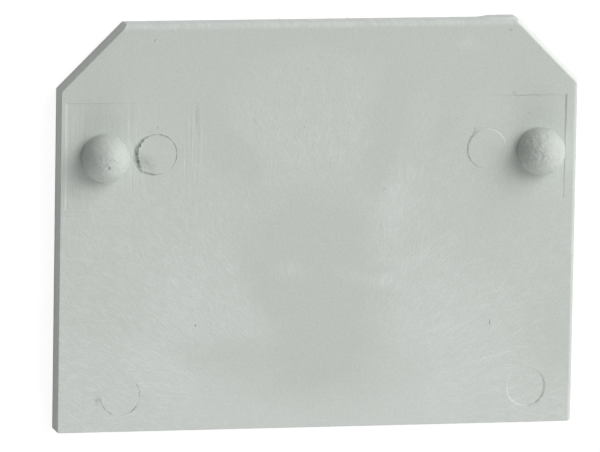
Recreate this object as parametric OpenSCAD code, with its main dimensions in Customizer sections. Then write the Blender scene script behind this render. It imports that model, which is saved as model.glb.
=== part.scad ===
// Partition plate for a row of rail-mounted terminal blocks.
// One flat moulding with two cut top corners and two domed pegs on its front.
// It lies on its flat back: +X is across the plate, +Y towards the cut corners, +Z out of the front.

/* [Plate] */
// Width of the plate, side edge to side edge
plate_w = 40; // [32:0.5:60]
// Height of the plate, bottom edge to top edge
plate_h = 31; // [24:0.5:50]
// Thickness of the plate
plate_t = 2; // [1.2:0.1:4]
// Length that the left corner cut takes off the top edge
left_cut_w = 5; // [2:0.1:8]
// Length that the left corner cut takes off the side edge
left_cut_h = 5; // [2:0.1:6]
// Length that the right corner cut takes off the top edge
right_cut_w = 4.6; // [2:0.1:8]
// Length that the right corner cut takes off the side edge
right_cut_h = 4.6; // [2:0.1:6]
// Radius of the rounded rim round the front
rim_r = 0.25; // [0.1:0.05:0.6]
// How much the corner radius of the outline is larger than the rim radius
corner_extra = 0.1; // [0.05:0.05:1]

/* [Pegs] */
// Diameter of both pegs
peg_d = 3.6; // [2:0.1:4.4]
// Straight length of a peg between the front and its dome
peg_straight = 0.6; // [0.3:0.1:3]
// Distance of the peg row below the top edge
peg_drop = 10.05; // [9:0.05:11]
// Distance of the left peg's axis from the left edge
left_peg_inset = 3.37; // [3:0.01:4]
// Distance of the right peg's axis from the right edge
right_peg_inset = 2.93; // [2.9:0.01:3.5]

/* [Mould insert outlines] */
// Width of the field that each peg's mould insert leaves on the front
insert_w = 10; // [9:0.25:12]
// Height of that field
insert_h = 7.9; // [6:0.1:9]
// Depth of that field below the front
insert_sink = 0.03; // [0.01:0.01:0.1]
// Distance of the left field from the left edge
left_insert_inset = 0.5; // [0.4:0.05:1]
// Distance of the left field from the top edge
left_insert_drop = 6; // [5.5:0.05:6.5]
// Distance of the right field from the right edge
right_insert_inset = 1; // [0.7:0.05:1]
// Distance of the right field from the top edge
right_insert_drop = 5.85; // [5.4:0.05:6.4]

/* [Ejector pin marks] */
// Diameter of every ejector pin mark
mark_d = 3.06; // [2:0.02:3.4]
// Distance of the upper marks below the top edge
high_mark_drop = 9.87; // [9.5:0.01:10.5]
// Distance of the upper left mark from the left edge
high_left_inset = 7.4; // [7.3:0.05:8.5]
// Distance of the upper right mark from the right edge
high_right_inset = 7.05; // [6.8:0.05:8.5]
// Height of the upper marks above the field round them
mark_rise = 0.05; // [0.02:0.01:0.15]
// Depth of the lower marks below the front
mark_sink = 0.05; // [0.02:0.01:0.15]
// Distance of the lower marks above the bottom edge
low_mark_height = 2.8; // [2.4:0.1:5]
// Distance of the lower left mark from the left edge
low_left_inset = 4.85; // [2.5:0.05:8]
// Distance of the lower right mark from the right edge
low_right_inset = 3.6; // [2.5:0.05:8]

/* [Gate] */
// Length of the trimmed gate on the top edge
gate_w = 2.6; // [1:0.1:4]
// Distance of the gate below the front
gate_drop = 0.4; // [0.4:0.1:1]
// How far the trimmed gate stands out of the top edge
gate_proud = 0.12; // [0.05:0.01:0.3]
// Distance of the gate from the right end of the top edge
gate_inset = 0.2; // [0.2:0.1:3]

/* [Hidden] */
$fn = 96;

// Overlap that keeps cuts and joined shapes clear of shared faces
lap = 0.2;
// How much deeper the centre of a rounding arc lies than a tangent arc's, as a share of its radius
rim_lead = 0.1;
corner_lead = 0.3;

corner_r = rim_r + corner_extra;
peg_r = peg_d / 2;
left_x = -plate_w / 2;
right_x = plate_w / 2;
bottom_y = -(plate_h + gate_proud) / 2;
top_y = bottom_y + plate_h;
field_z = plate_t - insert_sink;
peg_y = top_y - peg_drop;
left_peg_x = left_x + left_peg_inset;
right_peg_x = right_x - right_peg_inset;
high_mark_y = top_y - high_mark_drop;
low_mark_y = bottom_y + low_mark_height;

// Corners of the outline, anticlockwise from the lower left
corners = [
    [left_x, bottom_y],
    [right_x, bottom_y],
    [right_x, top_y - right_cut_h],
    [right_x - right_cut_w, top_y],
    [left_x + left_cut_w, top_y],
    [left_x, top_y - left_cut_h]
];
count = len(corners);

function before(i) = corners[(i + count - 1) % count];
function after(i) = corners[(i + 1) % count];
function heading(a, b) = atan2(b.y - a.y, b.x - a.x);
function along(angle) = [cos(angle), sin(angle)];
// Heading of the edge that comes into corner i, and the turn to the edge that leaves it
function heading_in(i) = heading(before(i), corners[i]);
function turn(i) = (heading(corners[i], after(i)) - heading_in(i) + 360) % 360;
function heading_out(i) = heading_in(i) + turn(i);
// Length of edge that the round of corner i takes up on each side
function reach(i) = corner_r * tan(turn(i) / 2);
// Points on both edges abreast of that round's centre, between which the corner is cut
function foot_in(i) = corners[i] - along(heading_in(i)) * reach(i) * (1 + corner_lead);
function foot_out(i) = corners[i] + along(heading_out(i)) * reach(i) * (1 + corner_lead);
// Centre and radius of that round: the arc meets both edges at a slight angle
function arc_centre(i) = corners[i]
    + (along(heading_in(i) + 90) * corner_r - along(heading_in(i)) * reach(i)) * (1 + corner_lead);
function arc_radius(i) = norm([corner_r * (1 + corner_lead), reach(i) * corner_lead]);

// Outline with its corners rounded
module outline() {
    difference() {
        polygon(corners);
        for (i = [0 : count - 1])
            difference() {
                polygon([foot_in(i), corners[i] + (corners[i] - arc_centre(i)), foot_out(i)]);
                translate(arc_centre(i))
                    circle(r = arc_radius(i));
            }
    }
}

// Section of the sliver that rounds the rim: x runs inwards from the edge, y up to the front
module rim_section() {
    depth = rim_r * (1 + rim_lead);
    difference() {
        translate([-lap, -depth])
            square([depth + lap, depth + lap]);
        translate([depth, -depth])
            circle(r = rim_r * norm([1 + rim_lead, rim_lead]));
    }
}

// Sliver that rounds the front rim along the edge that leaves corner i
module edge_sliver(i) {
    translate([corners[i].x, corners[i].y, plate_t])
        rotate([0, 0, heading_out(i)])
            rotate([90, 0, 90])
                translate([0, 0, -lap])
                    linear_extrude(norm(after(i) - corners[i]) + 2 * lap)
                        rim_section();
}

// Sliver that carries the rounded rim round corner i
module corner_sliver(i) {
    translate([arc_centre(i).x, arc_centre(i).y, plate_t])
        rotate([0, 0, heading_in(i) - 90])
            rotate_extrude(angle = turn(i))
                translate([arc_radius(i), 0])
                    mirror([1, 0])
                        rim_section();
}

// Flat plate with its front rim rounded all the way round
module blank() {
    difference() {
        difference() {
            linear_extrude(plate_t)
                outline();
            for (i = [0 : count - 1])
                edge_sliver(i);
        }
        for (i = [0 : count - 1])
            corner_sliver(i);
    }
}

// Round peg with a ball end, its foot buried in the plate
module peg(x) {
    foot_z = field_z - plate_t / 2;
    dome_z = field_z + peg_straight;
    translate([x, peg_y, 0])
        rotate_extrude()
            intersection() {
                square([peg_r + lap, dome_z + peg_r + lap]);
                union() {
                    translate([0, foot_z])
                        square([peg_r, dome_z - foot_z]);
                    translate([0, dome_z])
                        circle(r = peg_r);
                }
            }
}

// Shallow field that a mould insert leaves, from x0 to its right and from y1 down
module insert_field(x0, y1) {
    translate([x0, y1 - insert_h, field_z])
        cube([insert_w, insert_h, insert_sink + lap]);
}

module raised_mark(x) {
    translate([x, high_mark_y, field_z - plate_t / 2])
        cylinder(d = mark_d, h = plate_t / 2 + mark_rise);
}

module sunk_mark(x) {
    translate([x, low_mark_y, plate_t - mark_sink])
        cylinder(d = mark_d, h = mark_sink + lap);
}

module gate() {
    translate([right_x - right_cut_w - gate_inset - gate_w, top_y - lap, 0])
        cube([gate_w, gate_proud + lap, plate_t - gate_drop]);
}

module partition_plate() {
    color([0.75, 0.77, 0.75]) {
        difference() {
            blank();
            insert_field(left_x + left_insert_inset, top_y - left_insert_drop);
            insert_field(right_x - right_insert_inset - insert_w, top_y - right_insert_drop);
            sunk_mark(left_x + low_left_inset);
            sunk_mark(right_x - low_right_inset);
        }
        peg(left_peg_x);
        peg(right_peg_x);
        raised_mark(left_x + high_left_inset);
        raised_mark(right_x - high_right_inset);
        gate();
    }
}

partition_plate();
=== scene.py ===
"""Looks of a terminal block partition plate: one pale grey moulding that lies on its flat back.

The plate is modelled again at the size and place of its CAD solid, with the marks that its mould
left on it. All lengths are in metres, in the frame of the solid: +X across the plate, +Y towards
the cut corners, +Z out of the front.
"""

import math

import bmesh
import bpy
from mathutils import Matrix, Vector

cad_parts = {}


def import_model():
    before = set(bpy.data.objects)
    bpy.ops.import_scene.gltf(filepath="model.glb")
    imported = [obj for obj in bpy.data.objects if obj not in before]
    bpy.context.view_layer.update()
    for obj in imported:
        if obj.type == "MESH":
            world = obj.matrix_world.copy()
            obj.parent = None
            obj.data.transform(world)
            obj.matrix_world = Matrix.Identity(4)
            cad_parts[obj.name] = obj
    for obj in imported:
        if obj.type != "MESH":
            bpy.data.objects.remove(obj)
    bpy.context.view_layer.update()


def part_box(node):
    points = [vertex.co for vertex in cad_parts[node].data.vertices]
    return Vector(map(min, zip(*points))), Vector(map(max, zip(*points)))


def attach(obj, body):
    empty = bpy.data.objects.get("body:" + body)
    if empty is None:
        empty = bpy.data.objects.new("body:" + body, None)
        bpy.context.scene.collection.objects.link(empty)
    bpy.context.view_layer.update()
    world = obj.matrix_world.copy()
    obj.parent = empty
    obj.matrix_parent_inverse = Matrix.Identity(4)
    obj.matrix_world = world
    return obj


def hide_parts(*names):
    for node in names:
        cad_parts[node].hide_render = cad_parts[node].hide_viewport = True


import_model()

MM = 0.001
NODE = "partition_plate"
node_low, node_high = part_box(NODE)

# Plate
PLATE_T = 2 * MM
GATE_PROUD = 0.12 * MM
LEFT = node_low.x
RIGHT = node_high.x
BOTTOM = node_low.y
TOP = node_high.y - GATE_PROUD
BACK = node_low.z
FRONT = BACK + PLATE_T
LEFT_CUT = 5 * MM
RIGHT_CUT = 4.6 * MM

# Rounding of the front rim, by the direction in degrees that the wall below it faces
RIM_ROUND = {
    0: 0.35 * MM,
    45: 0.08 * MM,
    90: 0.35 * MM,
    135: 0.14 * MM,
    180: 0.1 * MM,
    270: 0.1 * MM,
}
# Rounding of the upright corners, by the direction in degrees that each of them faces
CORNER_ROUND = {
    22.5: 0.25 * MM,
    67.5: 0.15 * MM,
    112.5: 0.08 * MM,
    157.5: 0.06 * MM,
    225: 0.15 * MM,
    315: 0.3 * MM,
}
BACK_ROUND = 0.05 * MM
WIDEST_ROUND = 0.5 * MM
ROUND_STEPS = 12
# Trimmed front edge of the right corner cut: its width on the face, how far it leans back from the face,
# and the sum of X and Y along its inner border
TRIM_W = 0.37 * MM
TRIM_LEAN = math.radians(40)
TRIM_SUM = RIGHT - RIGHT_CUT + TOP - math.sqrt(2) * TRIM_W

# Pegs
PEG_R = 1.8 * MM
PEG_STRAIGHT = 0.6 * MM
PEG_ROOT = 0.5 * MM
PEG_SIDES = 96
PEG_Y = TOP - 10.05 * MM
LEFT_PEG_X = LEFT + 3.37 * MM
RIGHT_PEG_X = RIGHT - 2.93 * MM

# Fields of the mould inserts, from whose even depth in the solid the pegs rise
FIELD_W = 10 * MM
FIELD_H = 7.9 * MM
FIELD_SINK = 0.03 * MM
FIELD_Z = FRONT - FIELD_SINK
# Unevenness of their floors, the cuts that divide them, and how far the tools stand out of the face
FIELD_ROUGH = 0.005 * MM
FIELD_GRID = 8
FIELD_LIFT = 0.5 * MM
# Each field's lower left corner, depth, tilt of the floor along X and Y, and run of its sloping sides
LEFT_FIELD = {
    "at": (LEFT + 0.5 * MM, TOP - 13.9 * MM),
    "sink": 0.02 * MM,
    "tilt": (0.004, 0),
    "slope": 0.07 * MM,
    "seed": 11,
}
RIGHT_FIELD = {
    "at": (RIGHT - 11 * MM, TOP - 13.75 * MM),
    "sink": 0.015 * MM,
    "tilt": (-0.006, -0.006),
    "slope": 0.035 * MM,
    "seed": 12,
}

# Ejector pin marks. All have a place, and lean is a slope along X and Y
MARK_R = 1.53 * MM
MARK_Y = TOP - 9.87 * MM
LOW_MARK_Y = BOTTOM + 2.8 * MM
# Thin ring that cuts a groove: half its thickness, and how far it is lifted where there is no groove
GROOVE_LEAST = 0.01 * MM
GROOVE_LIFT = 0.04 * MM
GROOVE_SIDES = 180
GROOVE_STEPS = 12
# Marks with an uneven groove round them. A knot is an angle round the mark in degrees, then the width of
# the groove in millimetres. Deep is the groove's depth as a share of half its width.
UPPER_LEFT_MARK = {
    "at": (LEFT + 7.4 * MM, MARK_Y),
    "base": FRONT - 0.012 * MM,
    "deep": 1,
    "knots": (
        (0, 0.055), (15, 0.06), (30, 0.06), (45, 0.03), (60, 0.075), (75, 0.08), (90, 0.07), (105, 0.08),
        (118, 0.06), (132, 0), (300, 0), (312, 0.013), (330, 0.025), (345, 0.065),
    ),
}
LOWER_LEFT_MARK = {
    "at": (LEFT + 4.78 * MM, LOW_MARK_Y),
    "base": FRONT,
    "deep": 1,
    "knots": (
        (0, 0.02), (15, 0.022), (30, 0.03), (45, 0.013), (60, 0.008), (75, 0), (172, 0), (182, 0.012),
        (195, 0.03), (210, 0.035), (225, 0.025), (240, 0.035), (255, 0.014), (270, 0.008), (285, 0.018),
        (300, 0.03), (315, 0.04), (330, 0.025), (345, 0.02),
    ),
}
# Torn skin outside the upper left mark, given as the grooves are
TORN_SKIN = {
    "at": (LEFT + 6.95 * MM, MARK_Y - 0.1 * MM),
    "base": FRONT - 0.014 * MM,
    "deep": 0.9,
    "knots": (
        (0, 0), (88, 0), (97, 0.08), (105, 0.16), (113, 0.16), (121, 0.28), (129, 0.31), (138, 0.44),
        (147, 0.39), (157, 0.5), (165, 0.47), (174, 0.55), (180, 0.5), (188, 0.6), (195, 0.54), (203, 0.58),
        (210, 0.5), (218, 0.44), (226, 0.28), (233, 0.27), (241, 0.18), (250, 0.26), (258, 0.22),
        (266, 0.23), (276, 0.13), (286, 0.08), (298, 0),
    ),
}
# A raised and a sunk round with sloping sides: step is its mean height, and run the width of its side
UPPER_RIGHT_MARK = {
    "at": (RIGHT - 7.05 * MM, MARK_Y),
    "step": 0.026 * MM,
    "run": 0.07 * MM,
    "lean": (-0.015, 0.009),
}
LOWER_RIGHT_MARK = {
    "at": (RIGHT - 3.67 * MM, LOW_MARK_Y),
    "step": 0.035 * MM,
    "run": 0.1 * MM,
    "lean": (-0.011, 0.017),
}
MARK_ROOT = 0.1 * MM
MARK_SIDES = 120

# How uneven a pit or a speck is, as a share of its smallest size
BLOB_ROUGH = 0.3
# Pits in the face: place, length, width and depth in millimetres, and turn in degrees
FACE_PITS = (
    (-9.5, -7.53, 0.09, 0.08, 0.08, 0),
    (13.4, -7.75, 0.3, 0.07, 0.07, 100),
    (16.16, 8.23, 0.09, 0.07, 0.09, 20),
    (4.97, 2.67, 0.07, 0.06, 0.05, 40),
    (-1.32, 7.43, 0.06, 0.05, 0.05, 0),
    (10.47, 7.93, 0.06, 0.05, 0.04, 0),
    (14.53, 14.64, 0.2, 0.11, 0.035, 10),
    (-12.64, 7.61, 0.12, 0.06, 0.05, 70),
)
PIMPLE_AT = (-12.81 * MM, 14.2 * MM)
PIMPLE_SIZE = Vector((0.14, 0.1, 0.05)) * MM
# Pits in the tips of the pegs: peg, place from its axis, then as above
TIP_PITS = (
    (LEFT_PEG_X, -0.12, -0.46, 0.2, 0.12, 0.13, 75),
    (LEFT_PEG_X, -0.76, 0.13, 0.1, 0.06, 0.05, 60),
    (LEFT_PEG_X, -0.41, -0.27, 0.09, 0.06, 0.04, 120),
    (LEFT_PEG_X, -0.1, 0.15, 0.1, 0.05, 0.04, 10),
    (LEFT_PEG_X, 0.29, 0.13, 0.12, 0.06, 0.05, -30),
    (LEFT_PEG_X, 0.52, -0.05, 0.08, 0.05, 0.04, -60),
    (RIGHT_PEG_X, -0.3, -0.1, 0.1, 0.06, 0.06, 30),
    (RIGHT_PEG_X, -0.1, 0.25, 0.07, 0.06, 0.05, 0),
    (RIGHT_PEG_X, -0.55, 0.2, 0.1, 0.05, 0.05, 80),
    (RIGHT_PEG_X, -0.45, -0.45, 0.09, 0.05, 0.05, 100),
)

# Trimmed gate on the top edge: its drop below the front, the fall of its sloping front, the length of its
# sloping end, and how far it reaches into the plate
GATE_W = 3.3 * MM
GATE_DROP = 0.22 * MM
GATE_FALL = 0.25 * MM
GATE_RIGHT = RIGHT - RIGHT_CUT - 0.2 * MM
GATE_RAMP = 1.4 * MM
GATE_ROOT = 0.1 * MM
# Specks of flash on the back of the top edge
TOP_SPECKS = (-2.9 * MM, 2.35 * MM)
TOP_SPECK_SIZE = Vector((0.08, 0.05, 0.06)) * MM

# Plastic: tones of the smooth skin, of the rubbed skin and its painted light, of the painted highlight on
# the trimmed edge and of the stains and painted shade
SMOOTH_TONE = (0.511, 0.543, 0.511, 1)
RUBBED_AND_LIT_TONE = (0.588, 0.62, 0.593, 1)
TRIM_HIGHLIGHT_TONE = (0.72, 0.74, 0.72, 1)
STAIN_AND_SHADE_TONE = (0.3, 0.32, 0.3, 1)
# Roughness of the smooth and of the rubbed skin, and the strength of its reflections
SMOOTH_ROUGH = 0.42
RUBBED_ROUGH = 0.56
SHINE = 0.2
# Painted highlight on the trimmed edge of the right corner cut: depths below the front where it starts to
# fade and where it ends, and the width of its soft inner border
TRIM_HIGHLIGHT_FULL = 0.4 * MM
TRIM_HIGHLIGHT_END = 1.4 * MM
TRIM_HIGHLIGHT_SOFT = 0.24 * MM
# Uneven rims of the soft shapes on the skin: waves to a metre, and how far the rim is pushed about
RUB_WARP = (350, 3 * MM)
SCUFF_WARP = (900, 0.6 * MM)
SCRATCH_WARP = (2000, 0.15 * MM)
STAIN_AND_SHADE_WARP = (3000, 0.4 * MM)
SEAM_SHADE_WARP = (5000, 0.12 * MM)
TRIM_HIGHLIGHT_WARP = (2500, 0.06 * MM)
NOISE_ROUGH = 0.6
# Painted light: how much lighter the skin is made at the bottom and at the top edge
PAINTED_LIGHT_BOTTOM = 0.85
PAINTED_LIGHT_TOP = 0
# Painted light on the rim and wall along the top edge: how much lighter each is made, and how far below
# the top edge the rim starts to fade and both end
TOP_RIM_PAINTED_LIGHT = 0.7
TOP_WALL_PAINTED_LIGHT = 0.6
TOP_RIM_FULL = 0.25 * MM
TOP_RIM_END = 0.6 * MM
TOP_WALL_END = 0.15 * MM
# Patches that are more or less rubbed: middle and half sizes in millimetres, turn in degrees, strength,
# and softness of the rim
RUB_PATCHES = (
    (-0.8, 9.0, 8.0, 6.4, 0, 0.25, 0.5),
    (0.0, 15.0, 16.0, 2.6, 0, -0.2, 1.0),
    (7.9, 8.0, 1.2, 4.5, -10, 0.15, 1.0),
    (11.9, 14.0, 1.5, 1.1, 0, 0.4, 1.0),
    (-10.3, -5.0, 3.4, 6.5, -15, 0.2, 1.0),
    (-12.0, -11.2, 4.6, 2.4, -35, 0.4, 0.8),
    (10.3, -8.0, 4.5, 9.5, 8, 0.15, 1.0),
    (15.0, -1.0, 8.0, 7.0, 0, -0.22, 0.8),
    (9.8, -13.5, 2.6, 3.0, 0, 0.35, 1.0),
    (-17.5, -5.5, 6.0, 6.0, 0, -0.2, 0.9),
    (19.0, -9.0, 5.0, 8.0, 0, -0.6, 1.0),
    (-0.8, -1.2, 7.2, 5.5, 0, -0.6, 0.8),
    (-4.8, -4.2, 5.0, 2.0, -62, -0.3, 0.8),
    (0.5, -6.5, 6.6, 7.2, 0, -0.7, 0.7),
    (-7.5, -9.9, 6.5, 2.3, -4, -0.35, 1.0),
    (0.3, -11.8, 12.0, 4.8, 0, -0.3, 0.9),
    (-0.6, -10.9, 10.5, 4.0, 0, -0.3, 1.0),
    (-6.8, 5.6, 5.6, 2.0, -60, -0.45, 1.0),
    (5.0, 7.0, 7.5, 1.8, 78, -0.5, 1.0),
    (10.4, 9.0, 5.5, 1.3, 66, -0.3, 1.0),
)
# Lighter scuffs and scratches inside the smooth middle, given as the patches are
SCUFFS = (
    (6.0, 1.6, 2.5, 4.4, -20, 0.5, 1.0),
    (2.8, -4.0, 2.6, 0.9, -16, 0.4, 1.0),
    (5.0, -4.4, 1.8, 1.0, 0, 0.4, 1.0),
    (7.2, -3.3, 2.5, 0.9, 36, 0.3, 1.0),
    (-2.2, -3.4, 2.2, 1.2, -10, 0.4, 1.0),
)
# Thin light scratches, given as the patches are
SCRATCHES = (
    (13.6, -10.4, 2.8, 0.12, 13.5, 0.8, 0.9),
    (8.9, -8.3, 1.0, 0.1, 22, 0.7, 0.9),
    (10.6, -8.2, 1.2, 0.1, 24, 0.7, 0.9),
    (-11.2, -4.2, 0.9, 0.09, -52, 0.8, 0.9),
    (-10.9, -4.2, 0.7, 0.08, -50, 0.7, 0.9),
)
# Dark stains, and painted shade beside the upper left mark and along steps of the sunk fields, given as the
# patches are
STAINS_AND_SHADE = (
    (-13.45, 4.95, 1.4, 0.8, -48, 0.65, 1.0),
    (-14.25, 6.0, 0.2, 0.6, 0, 0.9, 0.9),
    (11.95, 7.02, 0.4, 0.14, 65, 0.9, 0.9),
    (-16.95, -13.1, 0.3, 0.7, 0, 0.5, 1.0),
    (-9.6, 8.5, 0.16, 1.6, 0, 0.35, 0.9),
    (-5.15, 8.0, 0.2, 0.3, 0, 0.3, 0.9),
    (14.96, 9.85, 0.2, 0.26, 0, 0.65, 1.0),
    (15.3, 9.5, 0.3, 0.12, 10, 0.4, 1.0),
    (16.9, 9.55, 0.5, 0.1, 0, 0.35, 1.0),
    (14.53, 14.64, 0.3, 0.2, 10, 0.5, 1.0),
)
# Mottle of the stains and painted shade: waves to a metre, the part of the noise that it uses, and its
# least strength
MOTTLE_RATE = 3500
MOTTLE_LOW = 0.35
MOTTLE_HIGH = 0.65
MOTTLE_LEAST = 0.4
# Painted shade in the seams of the marks: softness, then mark, angle round it in degrees, half length and
# half width in millimetres, strength
SEAM_SHADE_SOFT = 0.9
SEAM_SHADE = (
    (UPPER_LEFT_MARK, -10, 0.4, 0.08, 0.3),
    (UPPER_LEFT_MARK, 15, 0.35, 0.08, 0.3),
    (UPPER_LEFT_MARK, 28, 0.3, 0.08, 0.35),
    (UPPER_LEFT_MARK, 60, 0.25, 0.1, 0.6),
    (UPPER_LEFT_MARK, 78, 0.3, 0.09, 0.5),
    (UPPER_LEFT_MARK, 105, 0.4, 0.08, 0.4),
    (UPPER_LEFT_MARK, 125, 0.35, 0.1, 0.6),
    (UPPER_LEFT_MARK, 138, 0.25, 0.14, 0.7),
    (UPPER_LEFT_MARK, 155, 0.25, 0.17, 0.8),
    (UPPER_LEFT_MARK, 178, 0.35, 0.18, 0.9),
    (UPPER_LEFT_MARK, 200, 0.35, 0.18, 0.8),
    (UPPER_LEFT_MARK, 216, 0.25, 0.15, 0.6),
    (UPPER_LEFT_MARK, 260, 0.35, 0.12, 0.5),
    (UPPER_LEFT_MARK, 282, 0.25, 0.09, 0.4),
    (UPPER_RIGHT_MARK, 125, 0.3, 0.08, 0.4),
    (UPPER_RIGHT_MARK, 140, 0.3, 0.09, 0.7),
    (UPPER_RIGHT_MARK, 155, 0.3, 0.08, 0.4),
    (UPPER_RIGHT_MARK, 180, 0.5, 0.08, 0.5),
    (UPPER_RIGHT_MARK, 205, 0.4, 0.08, 0.4),
    (UPPER_RIGHT_MARK, 235, 0.4, 0.07, 0.3),
    (LOWER_LEFT_MARK, 30, 0.22, 0.1, 0.4),
    (LOWER_LEFT_MARK, 5, 0.5, 0.08, 0.3),
    (LOWER_LEFT_MARK, -45, 0.6, 0.1, 0.6),
    (LOWER_LEFT_MARK, 242, 0.3, 0.09, 0.4),
    (LOWER_LEFT_MARK, 215, 0.4, 0.11, 0.35),
    (LOWER_LEFT_MARK, 194, 0.4, 0.13, 0.4),
    (LOWER_RIGHT_MARK, 285, 0.35, 0.08, 0.45),
    (LOWER_RIGHT_MARK, 308, 0.4, 0.09, 0.65),
    (LOWER_RIGHT_MARK, 330, 0.35, 0.08, 0.4),
)
# Fine fibres of rubbed skin fan out from this place. They start and are full at these distances from it
FAN_AT = (0, -15.5 * MM, 0)
FAN_START = 6 * MM
FAN_FULL = 12 * MM
# Waves of the fibres to a radian and to a metre, slants and spacing of their layers, and the part of the
# noise that they use
FIBRE_TURNS = 90
FIBRE_RATE = 600
FIBRE_SLANTS = (0, 2200, -2200)
FIBRE_LAYER = 10.0
FIBRE_LOW = 0.45
FIBRE_HIGH = 0.8
FIBRE_MEAN = 0.3
# Strength of the fibres and of the clouds on smooth skin, and on skin whose rub and painted light reach
# this much
RUB_AND_LIGHT_FULL = 0.6
FIBRE_STRENGTH = (0.15, 1)
CLOUD_STRENGTH = (0.6, 1.1)
FIBRE_TONE = 0.82
FIBRE_BUMP = 0.12
CLOUD_RATE = 2300
CLOUD_TONE = 0.6
GRAIN_RATE = 5000
GRAIN_TONE = 1
GRAIN_BUMP = 0.5
# Upright tool lines in the left field: waves to a metre along X, Y and Z
FIELD_LINES = (3600, 160, 0)
LINE_TONE = 0.65
LINE_BUMP = 2
# Width over which the lines fade at the field's ends, and softness of the mark that they leave clear
LINE_FADE = 0.1 * MM
LINE_CLEAR = 0.1
# Places where the lines are strong, given as the patches are
LINE_PLACES = (
    (-14.4, 5.6, 8.0, 5.5, 0, 0.12, 0.3),
    (-18.6, 5.6, 1.5, 5.5, 0, 0.6, 0.5),
    (-14.4, 5.6, 0.9, 5.5, 0, 0.7, 0.5),
    (-9.9, 6.2, 1.0, 5.0, 0, 0.6, 0.5),
)
# Coarse grain on the pegs
PEG_GRAIN_RATE = 2500
LEFT_PEG_GRAIN = 2.2
RIGHT_PEG_GRAIN = 4.5
# Height that a bump of 1 stands for
BUMP_HEIGHT = 0.03 * MM

# Camera: looks straight down, then turned by these angles, as the plate's edges show in the picture
CAMERA_TURN = (-9.221, -12.751, 0.978)
CAMERA_AT = Vector((-133.346, 93.474, 577.478)) * MM
CAMERA_LENS = 474.95
SENSOR_W = 36
NEAREST = 0.01
FARTHEST = 10

# Soft lamps: name, azimuth and elevation in degrees, distance, width and height in metres, power in watts
LAMPS = (
    ("key", 36, 43.5, 1.2, 0.9, 0.9, 9.2),
    ("side", 24, 22, 0.4, 0.66, 0.27, 0.8),
    ("front_fill", 280, 23, 1.2, 0.9, 0.9, 6.0),
    ("over", 90, 85, 1.2, 1.2, 1.2, 2.8),
)
AMBIENT = 0.16
# Floor as the camera sees it: its own white, and the share of the lamps' light and shadows on it
FLOOR_WHITE = 0.89
FLOOR_SHADE = 0.2
# Floor as it lights the plate
FLOOR_TONE = (0.6, 0.6, 0.6, 1)
FLOOR_ROUGH = 0.9
FLOOR_SIZE = 6

# Distance below which a vertex counts as lying on a cutting plane
NEAR = 0.0001 * MM
# Angle between two faces below which their shading is smooth
SMOOTH_BELOW = math.radians(9)


def deselect():
    """Leaves edit mode and nothing selected."""
    if bpy.context.object and bpy.context.object.mode != "OBJECT":
        bpy.ops.object.mode_set(mode="OBJECT")
    bpy.ops.object.select_all(action="DESELECT")


def take(obj):
    """Makes one object the only selected one."""
    deselect()
    obj.select_set(True)
    bpy.context.view_layer.objects.active = obj


def settle():
    """Puts the new object's place, turn and size into its mesh."""
    bpy.ops.object.transform_apply(location=True, rotation=True, scale=True)
    return bpy.context.object


def add_block(low, high):
    """A block between two corners."""
    deselect()
    low = Vector(low)
    high = Vector(high)
    bpy.ops.mesh.primitive_cube_add(size=1, location=(low + high) / 2, scale=high - low)
    return settle()


def add_round(centre, radius, low, high):
    """A round bar that stands between two heights."""
    deselect()
    place = (*centre, (low + high) / 2)
    bpy.ops.mesh.primitive_cylinder_add(
        vertices=MARK_SIDES, radius=radius, depth=high - low, location=place)
    return settle()


def pick(obj, kind, test):
    """In edit mode, selects the vertices, edges or faces that pass the test, and nothing else."""
    take(obj)
    bpy.ops.object.mode_set(mode="EDIT")
    bpy.ops.mesh.select_mode(type=kind)
    bpy.ops.mesh.select_all(action="DESELECT")
    mesh = bmesh.from_edit_mesh(obj.data)
    parts = {"VERT": mesh.verts, "EDGE": mesh.edges, "FACE": mesh.faces}[kind]
    for part in parts:
        if test(part):
            part.select_set(True)
    mesh.select_flush_mode()
    bmesh.update_edit_mesh(obj.data)


def upright(edge):
    """True for an edge that runs from back to front."""
    a, b = (v.co for v in edge.verts)
    return abs(a.z - b.z) > PLATE_T / 2


def apply_modifier(obj, step):
    """Applies one modifier to its object."""
    take(obj)
    bpy.ops.object.modifier_apply(modifier=step.name)


def apply_boolean(body, tool, operation):
    """Joins the tool to the body or cuts it out, and removes the tool."""
    deselect()
    step = body.modifiers.new("shape", "BOOLEAN")
    step.operation = operation
    step.solver = "EXACT"
    step.object = tool
    apply_modifier(body, step)
    bpy.data.objects.remove(tool)


def cut(body, tool):
    """Cuts the tool out of the body."""
    apply_boolean(body, tool, "DIFFERENCE")


def join(body, tool):
    """Joins the tool to the body."""
    apply_boolean(body, tool, "UNION")


def facing(normal):
    """Direction round the plate that a wall or a corner faces, in steps of 22.5 degrees."""
    step = 22.5
    return round(math.degrees(math.atan2(normal.y, normal.x)) / step) * step % 360


def rounding(edge):
    """How far an edge of the plate is rounded."""
    a, b = (f.normal for f in edge.link_faces)
    if upright(edge):
        return CORNER_ROUND[facing(a + b)]
    if edge.verts[0].co.z < (BACK + FRONT) / 2:
        return BACK_ROUND
    wall = a if abs(a.z) < abs(b.z) else b
    return RIM_ROUND[facing(wall)]


def round_edges(plate):
    """Rounds every edge of the plate by its own width."""
    take(plate)
    bpy.ops.object.mode_set(mode="EDIT")
    mesh = bmesh.from_edit_mesh(plate.data)
    weight = mesh.edges.layers.float.new("bevel_weight_edge")
    for edge in mesh.edges:
        edge[weight] = rounding(edge) / WIDEST_ROUND
    bmesh.update_edit_mesh(plate.data)
    bpy.ops.object.mode_set(mode="OBJECT")
    step = plate.modifiers.new("rounding", "BEVEL")
    step.limit_method = "WEIGHT"
    step.width = WIDEST_ROUND
    step.segments = ROUND_STEPS
    step.use_clamp_overlap = False
    apply_modifier(plate, step)


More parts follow.
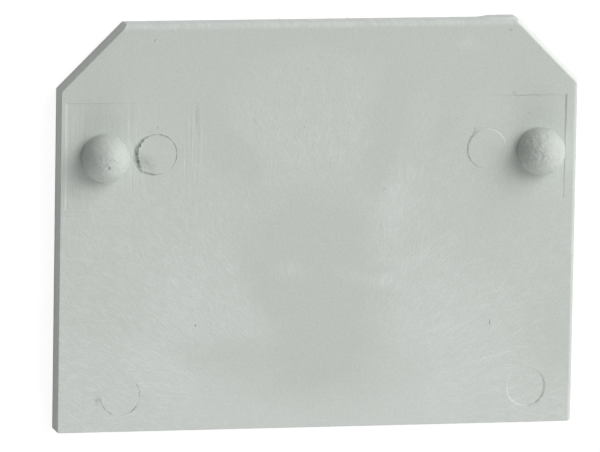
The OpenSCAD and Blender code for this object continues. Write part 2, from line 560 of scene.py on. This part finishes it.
def trim_edge(plate):
    """Trims the front edge of the right corner cut to a narrow flat."""
    aside = math.sin(TRIM_LEAN) / math.sqrt(2)
    way = Vector((aside, aside, math.cos(TRIM_LEAN)))
    pick(plate, "FACE", lambda f: True)
    border = (TRIM_SUM - TOP, TOP, FRONT)
    bpy.ops.mesh.bisect(plane_co=border, plane_no=way, clear_outer=True, use_fill=True, threshold=NEAR)
    bpy.ops.object.mode_set(mode="OBJECT")


def plate_blank():
    """The flat plate with its cut corners and rounded edges."""
    plate = add_block((LEFT, BOTTOM, BACK), (RIGHT, TOP, FRONT))
    for side, width in ((-1, LEFT_CUT), (1, RIGHT_CUT)):
        pick(plate, "EDGE", lambda e: upright(e) and e.verts[0].co.y > 0 and e.verts[0].co.x * side > 0)
        bpy.ops.mesh.bevel(offset=width, segments=1, affect="EDGES")
    round_edges(plate)
    trim_edge(plate)
    return plate


def on_floor(vert):
    """True for a vertex at the lower end of the tool that cuts a field."""
    return vert.co.z < FRONT + FIELD_LIFT / 2


def tilt_floor(tool, field):
    """Raises the right and the far side of a field's floor, and lowers the other two as much."""
    x, y = field["at"]
    across, along = field["tilt"]
    for side in (-1, 1):
        pick(tool, "VERT", lambda v: on_floor(v) and (v.co.x - x - FIELD_W / 2) * side > 0)
        bpy.ops.transform.translate(value=(0, 0, side * across * FIELD_W / 2))
        pick(tool, "VERT", lambda v: on_floor(v) and (v.co.y - y - FIELD_H / 2) * side > 0)
        bpy.ops.transform.translate(value=(0, 0, side * along * FIELD_H / 2))


def insert_field(plate, field):
    """Shallow field with an uneven floor and sloping sides that a mould insert leaves."""
    x, y = field["at"]
    depth = field["sink"]
    tool = add_block((x, y, FRONT - depth), (x + FIELD_W, y + FIELD_H, FRONT + FIELD_LIFT))
    pick(tool, "FACE", lambda f: f.normal.z > 0.5)
    spread = field["slope"] * (depth + FIELD_LIFT) / depth
    bpy.ops.transform.resize(value=(1 + 2 * spread / FIELD_W, 1 + 2 * spread / FIELD_H, 1))
    tilt_floor(tool, field)
    pick(tool, "FACE", lambda f: f.normal.z < -0.5)
    bpy.ops.mesh.subdivide(number_cuts=FIELD_GRID)
    pick(tool, "VERT", on_floor)
    bpy.ops.transform.vertex_random(offset=FIELD_ROUGH, seed=field["seed"])
    cut(plate, tool)


def peg(plate, x):
    """Round peg with a ball end, its foot buried in the plate."""
    dome_z = FIELD_Z + PEG_STRAIGHT
    foot_z = FIELD_Z - PEG_ROOT
    deselect()
    bpy.ops.mesh.primitive_uv_sphere_add(
        segments=PEG_SIDES, ring_count=PEG_SIDES // 2, radius=PEG_R, location=(x, PEG_Y, dome_z))
    tool = settle()
    pick(tool, "FACE", lambda f: True)
    bpy.ops.mesh.bisect(plane_co=(x, PEG_Y, dome_z), plane_no=(0, 0, 1), clear_inner=True, threshold=NEAR)
    pick(tool, "EDGE", lambda e: e.is_boundary)
    bpy.ops.mesh.extrude_region_move(TRANSFORM_OT_translate={"value": (0, 0, foot_z - dome_z)})
    bpy.ops.mesh.edge_face_add()
    join(plate, tool)


def round_value(knots, angle):
    """Value at an angle, between the knots on either side of it."""
    angle %= 360
    nexts = list(knots[1:]) + [(knots[0][0] + 360, knots[0][1])]
    for (start, value), (end, next_value) in zip(knots, nexts):
        if start <= angle <= end:
            share = (angle - start) / (end - start)
            share = share * share * (3 - 2 * share)
            return (value + (next_value - value) * share) * MM
    return 0


def shape_ring(ring, mark):
    """Widens a thin ring inwards to the groove's width, and lifts it off the face where there is none."""
    centre = Vector(mark["at"])
    pick(ring, "VERT", lambda v: True)
    mesh = bmesh.from_edit_mesh(ring.data)
    for vert in mesh.verts:
        spoke = vert.co.xy - centre
        width = round_value(mark["knots"], math.degrees(math.atan2(spoke.y, spoke.x)))
        grow = 1 + width / (2 * GROOVE_LEAST)
        radius = MARK_R - width / 2 + (spoke.length - MARK_R) * grow
        lift = GROOVE_LIFT * max(0, 1 - width / GROOVE_LEAST)
        vert.co.xy = centre + spoke.normalized() * radius
        vert.co.z = mark["base"] + (vert.co.z - mark["base"]) * grow * mark["deep"] + lift
    bmesh.update_edit_mesh(ring.data)


def groove(plate, mark):
    """Uneven groove round a mark."""
    deselect()
    bpy.ops.mesh.primitive_torus_add(
        major_segments=GROOVE_SIDES, minor_segments=GROOVE_STEPS, major_radius=MARK_R,
        minor_radius=GROOVE_LEAST, location=(*mark["at"], mark["base"]))
    ring = settle()
    shape_ring(ring, mark)
    cut(plate, ring)


def lean_over(tool, mark):
    """Tilts a round tool about the middle of its mark."""
    pick(tool, "VERT", lambda v: True)
    mesh = bmesh.from_edit_mesh(tool.data)
    for vert in mesh.verts:
        vert.co.z += (vert.co.xy - Vector(mark["at"])).dot(Vector(mark["lean"]))
    bmesh.update_edit_mesh(tool.data)


def widen(tool, up, radius, wider):
    """Widens the upper or the lower end of a round tool."""
    pick(tool, "FACE", lambda f: f.normal.z * up > 0.5)
    share = wider / radius
    bpy.ops.transform.resize(value=(share, share, 1))


def raised_round(plate, mark):
    """Mark that stands a little out of the face, with a sloping side."""
    top_r = MARK_R - mark["run"]
    tool = add_round(mark["at"], top_r, FRONT - MARK_ROOT, FRONT + mark["step"])
    widen(tool, -1, top_r, MARK_R + MARK_ROOT * mark["run"] / mark["step"])
    lean_over(tool, mark)
    join(plate, tool)


def sunk_round(plate, mark):
    """Mark that lies a little below the face, with a sloping side."""
    floor_r = MARK_R - mark["run"]
    tool = add_round(mark["at"], floor_r, FRONT - mark["step"], FRONT + MARK_ROOT)
    widen(tool, 1, floor_r, MARK_R + MARK_ROOT * mark["run"] / mark["step"])
    lean_over(tool, mark)
    cut(plate, tool)


def blob(place, size, turn, seed):
    """Small rough lump, longest along its own X, turned in the plane of the plate."""
    deselect()
    bpy.ops.mesh.primitive_ico_sphere_add(
        subdivisions=2, radius=1, location=place, scale=size, rotation=(0, 0, turn))
    lump = settle()
    pick(lump, "VERT", lambda v: True)
    bpy.ops.transform.vertex_random(offset=min(size) * BLOB_ROUGH, seed=seed)
    bpy.ops.object.mode_set(mode="OBJECT")
    return lump


def dome_height(x, y, peg_x):
    """Height of a peg's ball end above a point."""
    away = math.hypot(x - peg_x, y - PEG_Y)
    return FIELD_Z + PEG_STRAIGHT + math.sqrt(PEG_R ** 2 - away ** 2)


def pits(plate):
    """Pinholes and short nicks in the face, a pimple, and the pitted tips of the pegs."""
    for seed, (x, y, length, width, depth, turn) in enumerate(FACE_PITS):
        place = Vector((x * MM, y * MM, FRONT))
        cut(plate, blob(place, Vector((length, width, depth)) * MM, math.radians(turn), seed))
    place = Vector((*PIMPLE_AT, FRONT))
    join(plate, blob(place, PIMPLE_SIZE, 0, len(FACE_PITS)))
    for seed, (peg_x, x, y, length, width, depth, turn) in enumerate(TIP_PITS):
        place = Vector((peg_x + x * MM, PEG_Y + y * MM, 0))
        place.z = dome_height(place.x, place.y, peg_x)
        cut(plate, blob(place, Vector((length, width, depth)) * MM, math.radians(turn), seed))


def gate(plate):
    """Trimmed stub of the gate on the top edge, next to the right corner, and specks of flash beside it."""
    low = (GATE_RIGHT - GATE_W, TOP - GATE_ROOT, BACK)
    high = (GATE_RIGHT, TOP + GATE_PROUD, FRONT - GATE_DROP)
    tool = add_block(low, high)
    pick(tool, "VERT", lambda v: v.co.x < GATE_RIGHT - GATE_W / 2 and v.co.y > TOP)
    bpy.ops.transform.translate(value=(GATE_RAMP, 0, 0))
    pick(tool, "VERT", lambda v: v.co.z > (BACK + FRONT) / 2 and v.co.y > TOP)
    bpy.ops.transform.translate(value=(0, 0, -GATE_FALL))
    join(plate, tool)
    for seed, x in enumerate(TOP_SPECKS):
        join(plate, blob((x, TOP, BACK + TOP_SPECK_SIZE.z), TOP_SPECK_SIZE, 0, seed))


def moulded_plate():
    """The whole moulding as one mesh."""
    plate = plate_blank()
    insert_field(plate, LEFT_FIELD)
    insert_field(plate, RIGHT_FIELD)
    for mark in (UPPER_LEFT_MARK, LOWER_LEFT_MARK, TORN_SKIN):
        groove(plate, mark)
    raised_round(plate, UPPER_RIGHT_MARK)
    sunk_round(plate, LOWER_RIGHT_MARK)
    peg(plate, LEFT_PEG_X)
    peg(plate, RIGHT_PEG_X)
    pits(plate)
    gate(plate)
    take(plate)
    bpy.ops.object.shade_smooth_by_angle(angle=SMOOTH_BELOW)
    even = plate.modifiers.new("even shading", "WEIGHTED_NORMAL")
    even.keep_sharp = True
    apply_modifier(plate, even)
    plate.name = "moulded_plate"
    plate.data.name = "moulded_plate"
    return plate


def add_node(tree, kind, settings, inputs):
    """A node with its settings, and with each input set to a value or linked to another node's output."""
    made = tree.nodes.new(kind)
    for name, value in settings.items():
        setattr(made, name, value)
    for name, value in inputs.items():
        if isinstance(value, bpy.types.NodeSocket):
            tree.links.new(value, made.inputs[name])
        else:
            made.inputs[name].default_value = value
    return made


def calc(tree, operation, first, second):
    """Result of a sum or another operation on two values."""
    made = add_node(tree, "ShaderNodeMath", {"operation": operation}, {0: first, 1: second})
    return made.outputs[0]


def add_share(tree, total, value, share):
    """A total with a share of a value added to it."""
    return calc(tree, "ADD", total, calc(tree, "MULTIPLY", value, share))


def between(tree, value, low, high, to_low, to_high):
    """Carries a value from one range to another, with soft ends."""
    settings = {"interpolation_type": "SMOOTHSTEP"}
    inputs = {"Value": value, "From Min": low, "From Max": high, "To Min": to_low, "To Max": to_high}
    return add_node(tree, "ShaderNodeMapRange", settings, inputs).outputs[0]


def noise(tree, place, rate, detail):
    """Noise from 0 to 1, with about one wave to each 1/rate of length."""
    inputs = {"Vector": place, "Scale": rate, "Detail": detail, "Roughness": NOISE_ROUGH}
    return add_node(tree, "ShaderNodeTexNoise", {}, inputs)


def fine_noise(tree, place, rate, detail):
    """Noise that is about 0 in the mean."""
    return calc(tree, "SUBTRACT", noise(tree, place, rate, detail).outputs["Fac"], 0.5)


def warped(tree, place, rate, amount):
    """The place, pushed about by noise, so that soft shapes get uneven rims."""
    push = noise(tree, place, rate, 3).outputs["Color"]
    middle = {0: push, 1: (0.5, 0.5, 0.5)}
    centred = add_node(tree, "ShaderNodeVectorMath", {"operation": "SUBTRACT"}, middle)
    scaled = {0: centred.outputs[0], 1: (amount, amount, 0), 2: place}
    return add_node(tree, "ShaderNodeVectorMath", {"operation": "MULTIPLY_ADD"}, scaled).outputs[0]


def oval(tree, place, x, y, half_w, half_h, turn, strength, softness):
    """Soft oval: its strength in the middle, nothing at its rim."""
    inputs = {
        "Vector": place,
        "Location": (x * MM, y * MM, 0),
        "Rotation": (0, 0, math.radians(turn)),
        "Scale": (half_w * MM, half_h * MM, 1),
    }
    mapping = add_node(tree, "ShaderNodeMapping", {"vector_type": "TEXTURE"}, inputs)
    settings = {"gradient_type": "SPHERICAL"}
    ball = add_node(tree, "ShaderNodeTexGradient", settings, {"Vector": mapping.outputs[0]})
    return between(tree, ball.outputs["Fac"], 0, softness, 0, strength)


def sum_ovals(tree, place, warp, ovals, start):
    """Adds soft ovals with uneven rims to a first value."""
    uneven = warped(tree, place, *warp)
    total = start
    for one in ovals:
        total = calc(tree, "ADD", total, oval(tree, uneven, *one))
    return total


def held(tree, value):
    """The value, held between 0 and 1."""
    return calc(tree, "MINIMUM", calc(tree, "MAXIMUM", value, 0.0), 1.0)


def rub_and_painted_light(tree, place):
    """How much the skin is rubbed in its patches, plus painted light that makes it lighter towards the
    bottom edge and on the top rim and wall.
    """
    y = add_node(tree, "ShaderNodeSeparateXYZ", {}, {0: place}).outputs["Y"]
    # Painted light: the skin is made lighter towards the bottom edge
    base = between(tree, y, BOTTOM, TOP, PAINTED_LIGHT_BOTTOM, PAINTED_LIGHT_TOP)
    broad = held(tree, sum_ovals(tree, place, RUB_WARP, RUB_PATCHES, base))
    # Painted light: the rim and the wall along the top edge are made lighter
    rim = between(tree, y, TOP - TOP_RIM_END, TOP - TOP_RIM_FULL, 0, TOP_RIM_PAINTED_LIGHT)
    wall = between(tree, y, TOP - TOP_WALL_END, TOP, 0, TOP_WALL_PAINTED_LIGHT)
    broad = calc(tree, "ADD", broad, calc(tree, "ADD", rim, wall))
    scuffed = sum_ovals(tree, place, SCUFF_WARP, SCUFFS, broad)
    return sum_ovals(tree, place, SCRATCH_WARP, SCRATCHES, scuffed)


def stains_and_shade(tree, place):
    """How dark the stains and the painted shade beside the upper left mark and along steps of the fields
    are, in ragged and mottled spots.
    """
    spots = sum_ovals(tree, place, STAIN_AND_SHADE_WARP, STAINS_AND_SHADE, 0.0)
    speckle = noise(tree, place, MOTTLE_RATE, 2).outputs["Fac"]
    mottle = between(tree, speckle, MOTTLE_LOW, MOTTLE_HIGH, MOTTLE_LEAST, 1)
    return calc(tree, "MULTIPLY", spots, mottle)


def seam_shade(tree, place):
    """How dark the painted shade in the seams of the marks is, in short ragged arcs."""
    spots = []
    for mark, angle, length, width, strength in SEAM_SHADE:
        turn = math.radians(angle)
        spot = (Vector(mark["at"]) + Vector((math.cos(turn), math.sin(turn))) * MARK_R) / MM
        spots.append((spot.x, spot.y, length, width, angle + 90, strength, SEAM_SHADE_SOFT))
    return sum_ovals(tree, place, SEAM_SHADE_WARP, spots, 0.0)


def blend(tree, share, first, second):
    """Colour between two, each given as a value or as another node's output."""
    settings = {"data_type": "RGBA", "clamp_factor": False}
    made = add_node(tree, "ShaderNodeMix", settings, {0: share, 6: first, 7: second})
    return made.outputs[2]


def fibres(tree, place):
    """Fine crossing fibres that fan out from one place at the bottom edge, about 0 in the mean."""
    spoke = add_node(tree, "ShaderNodeVectorMath", {"operation": "SUBTRACT"}, {0: place, 1: FAN_AT})
    parts = add_node(tree, "ShaderNodeSeparateXYZ", {}, {0: spoke.outputs[0]})
    turn = calc(tree, "ARCTAN2", parts.outputs["X"], parts.outputs["Y"])
    turn = calc(tree, "MULTIPLY", turn, FIBRE_TURNS)
    measure = add_node(tree, "ShaderNodeVectorMath", {"operation": "LENGTH"}, {0: spoke.outputs[0]})
    length = measure.outputs["Value"]
    highest = 0.0
    for layer, slant in enumerate(FIBRE_SLANTS):
        across = calc(tree, "ADD", turn, calc(tree, "MULTIPLY", length, slant))
        inputs = {"X": across, "Y": calc(tree, "MULTIPLY", length, FIBRE_RATE), "Z": layer * FIBRE_LAYER}
        lanes = add_node(tree, "ShaderNodeCombineXYZ", {}, inputs)
        highest = calc(tree, "MAXIMUM", highest, noise(tree, lanes.outputs[0], 1, 2).outputs["Fac"])
    lines = calc(tree, "SUBTRACT", between(tree, highest, FIBRE_LOW, FIBRE_HIGH, 0, 1), FIBRE_MEAN)
    return calc(tree, "MULTIPLY", lines, between(tree, length, FAN_START, FAN_FULL, 0, 1))


def field_lines(tree, place):
    """Faint upright tool lines in the left field, here and there."""
    lanes = add_node(tree, "ShaderNodeVectorMath", {"operation": "MULTIPLY"}, {0: place, 1: FIELD_LINES})
    lines = fine_noise(tree, lanes.outputs[0], 1, 1)
    where = 0.0
    for one in LINE_PLACES:
        where = calc(tree, "ADD", where, oval(tree, place, *one))
    mark = Vector(UPPER_LEFT_MARK["at"]) / MM
    radius = MARK_R / MM
    clear = oval(tree, place, mark.x, mark.y, radius, radius, 0, 1, LINE_CLEAR)
    where = calc(tree, "SUBTRACT", where, clear)
    bottom = LEFT_FIELD["at"][1]
    top = bottom + FIELD_H
    y = add_node(tree, "ShaderNodeSeparateXYZ", {}, {0: place}).outputs["Y"]
    above_bottom = between(tree, y, bottom - LINE_FADE, bottom, 0, 1)
    below_top = between(tree, y, top, top + LINE_FADE, 1, 0)
    where = calc(tree, "MULTIPLY", held(tree, where), calc(tree, "MULTIPLY", above_bottom, below_top))
    return calc(tree, "MULTIPLY", lines, where)


def peg_grain(tree, place):
    """Coarse grain on the two pegs, stronger on the right one, none on the flat skin."""
    parts = add_node(tree, "ShaderNodeSeparateXYZ", {}, {0: place})
    on_peg = between(tree, parts.outputs["Z"], FRONT, FRONT + PEG_STRAIGHT, 0, 1)
    strength = between(tree, parts.outputs["X"], LEFT, RIGHT, LEFT_PEG_GRAIN, RIGHT_PEG_GRAIN)
    grain = fine_noise(tree, place, PEG_GRAIN_RATE, 2)
    return calc(tree, "MULTIPLY", grain, calc(tree, "MULTIPLY", on_peg, strength))


def trim_highlight(tree, place):
    """1 on the painted highlight along the trimmed flat of the right corner cut, fading down the wall
    behind it, 0 elsewhere.
    """
    uneven = warped(tree, place, *TRIM_HIGHLIGHT_WARP)
    parts = add_node(tree, "ShaderNodeSeparateXYZ", {}, {0: uneven})
    across = calc(tree, "ADD", parts.outputs["X"], parts.outputs["Y"])
    beyond = between(tree, across, TRIM_SUM - TRIM_HIGHLIGHT_SOFT / 4, TRIM_SUM + TRIM_HIGHLIGHT_SOFT, 0, 1)
    near_front = between(tree, parts.outputs["Z"], FRONT - TRIM_HIGHLIGHT_END, FRONT - TRIM_HIGHLIGHT_FULL, 0, 1)
    return calc(tree, "MULTIPLY", beyond, near_front)


def by_rub_and_light(tree, value, rub_and_light, strength):
    """The value, at one strength on smooth skin and at another on rubbed skin and on skin lightened by
    painted light.
    """
    return calc(tree, "MULTIPLY", value, between(tree, rub_and_light, 0, RUB_AND_LIGHT_FULL, *strength))


def plastic():
    """Pale grey moulded plastic with rubbed patches, streaks and a fine grain, and painted light and shade
    in its colour.
    """
    material = bpy.data.materials.new("plate_plastic")
    material.use_nodes = True
    tree = material.node_tree
    shader = tree.nodes["Principled BSDF"]
    place = add_node(tree, "ShaderNodeTexCoord", {}, {}).outputs["Object"]
    # Rubbed patches, and painted light towards the bottom edge and on the top rim and wall
    rub_and_light = rub_and_painted_light(tree, place)
    threads = by_rub_and_light(tree, fibres(tree, place), rub_and_light, FIBRE_STRENGTH)
    cloud = by_rub_and_light(tree, fine_noise(tree, place, CLOUD_RATE, 3), rub_and_light, CLOUD_STRENGTH)
    grain = fine_noise(tree, place, GRAIN_RATE, 2)
    lines = field_lines(tree, place)

    height = add_share(tree, peg_grain(tree, place), threads, FIBRE_BUMP)
    height = add_share(tree, height, lines, LINE_BUMP)
    height = add_share(tree, height, grain, GRAIN_BUMP)
    bump = add_node(tree, "ShaderNodeBump", {}, {"Height": height, "Distance": BUMP_HEIGHT})
    tree.links.new(bump.outputs[0], shader.inputs["Normal"])

    tone = add_share(tree, rub_and_light, threads, FIBRE_TONE)
    tone = add_share(tree, tone, cloud, CLOUD_TONE)
    tone = add_share(tree, tone, lines, LINE_TONE)
    tone = add_share(tree, tone, grain, GRAIN_TONE)
    colour = blend(tree, tone, SMOOTH_TONE, RUBBED_AND_LIT_TONE)
    # Stains, and painted shade in the seams of the marks, beside the upper left mark and along steps of the
    # fields
    dark = held(tree, calc(tree, "ADD", stains_and_shade(tree, place), seam_shade(tree, place)))
    colour = blend(tree, dark, colour, STAIN_AND_SHADE_TONE)
    # Painted highlight along the trimmed edge of the right corner cut
    colour = blend(tree, trim_highlight(tree, place), colour, TRIM_HIGHLIGHT_TONE)
    tree.links.new(colour, shader.inputs["Base Color"])
    roughness = between(tree, tone, 0, 1, SMOOTH_ROUGH, RUBBED_ROUGH)
    tree.links.new(roughness, shader.inputs["Roughness"])
    shader.inputs["Specular IOR Level"].default_value = SHINE
    return material


def seen_white(tree):
    """1 for rays that show the surroundings: from the camera, in reflections and through glass."""
    path = add_node(tree, "ShaderNodeLightPath", {}, {})
    seen = calc(tree, "ADD", path.outputs["Is Camera Ray"], path.outputs["Is Glossy Ray"])
    seen = calc(tree, "ADD", seen, path.outputs["Is Transmission Ray"])
    return calc(tree, "MINIMUM", seen, 1.0)


def floor():
    """Plain white floor under the plate, which keeps a faint shadow."""
    deselect()
    bpy.ops.mesh.primitive_plane_add(size=FLOOR_SIZE, location=(0, 0, BACK))
    sheet = bpy.context.object
    sheet.name = "floor"
    material = bpy.data.materials.new("floor_white")
    material.use_nodes = True
    tree = material.node_tree
    shader = tree.nodes["Principled BSDF"]
    shader.inputs["Base Color"].default_value = FLOOR_TONE
    shader.inputs["Roughness"].default_value = FLOOR_ROUGH
    shade_tone = (FLOOR_SHADE, FLOOR_SHADE, FLOOR_SHADE, 1)
    white = add_node(tree, "ShaderNodeEmission", {}, {"Strength": FLOOR_WHITE})
    shade = add_node(tree, "ShaderNodeBsdfDiffuse", {}, {"Color": shade_tone})
    seen = add_node(tree, "ShaderNodeAddShader", {}, {0: white.outputs[0], 1: shade.outputs[0]})
    mixed = add_node(
        tree, "ShaderNodeMixShader", {}, {0: seen_white(tree), 1: shader.outputs[0], 2: seen.outputs[0]})
    tree.links.new(mixed.outputs[0], tree.nodes["Material Output"].inputs["Surface"])
    sheet.data.materials.append(material)


def soft_lamp(name, azimuth, elevation, distance, width, height, power):
    """Soft lamp that faces the plate, with its direction from the plate in degrees."""
    turn = math.radians(azimuth)
    lift = math.radians(elevation)
    away = Vector((math.cos(lift) * math.cos(turn), math.cos(lift) * math.sin(turn), math.sin(lift)))
    data = bpy.data.lights.new(name, "AREA")
    data.shape = "RECTANGLE"
    data.size = width
    data.size_y = height
    data.energy = power
    lamp = bpy.data.objects.new(name, data)
    lamp.location = away * distance
    lamp.rotation_euler = away.to_track_quat("Z", "Y").to_euler()
    bpy.context.scene.collection.objects.link(lamp)


def world():
    """Even grey surroundings that show as white."""
    scene_world = bpy.data.worlds.new("studio")
    bpy.context.scene.world = scene_world
    scene_world.use_nodes = True
    tree = scene_world.node_tree
    background = tree.nodes["Background"]
    background.inputs["Color"].default_value = (1, 1, 1, 1)
    strength = between(tree, seen_white(tree), 0, 1, AMBIENT, 1)
    tree.links.new(strength, background.inputs["Strength"])


def camera():
    """Long lens from the upper left, as in the picture."""
    data = bpy.data.cameras.new("camera")
    data.sensor_width = SENSOR_W
    data.lens = CAMERA_LENS
    data.clip_start = NEAREST
    data.clip_end = FARTHEST
    view = bpy.data.objects.new("camera", data)
    view.location = CAMERA_AT
    view.rotation_euler = [math.radians(turn) for turn in CAMERA_TURN]
    bpy.context.scene.collection.objects.link(view)
    bpy.context.scene.camera = view


plate = moulded_plate()
plate.data.materials.clear()
plate.data.materials.append(plastic())
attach(plate, "root")
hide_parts(NODE)

camera()
floor()
world()
for lamp in LAMPS:
    soft_lamp(*lamp)
bpy.context.scene.view_settings.view_transform = "Standard"
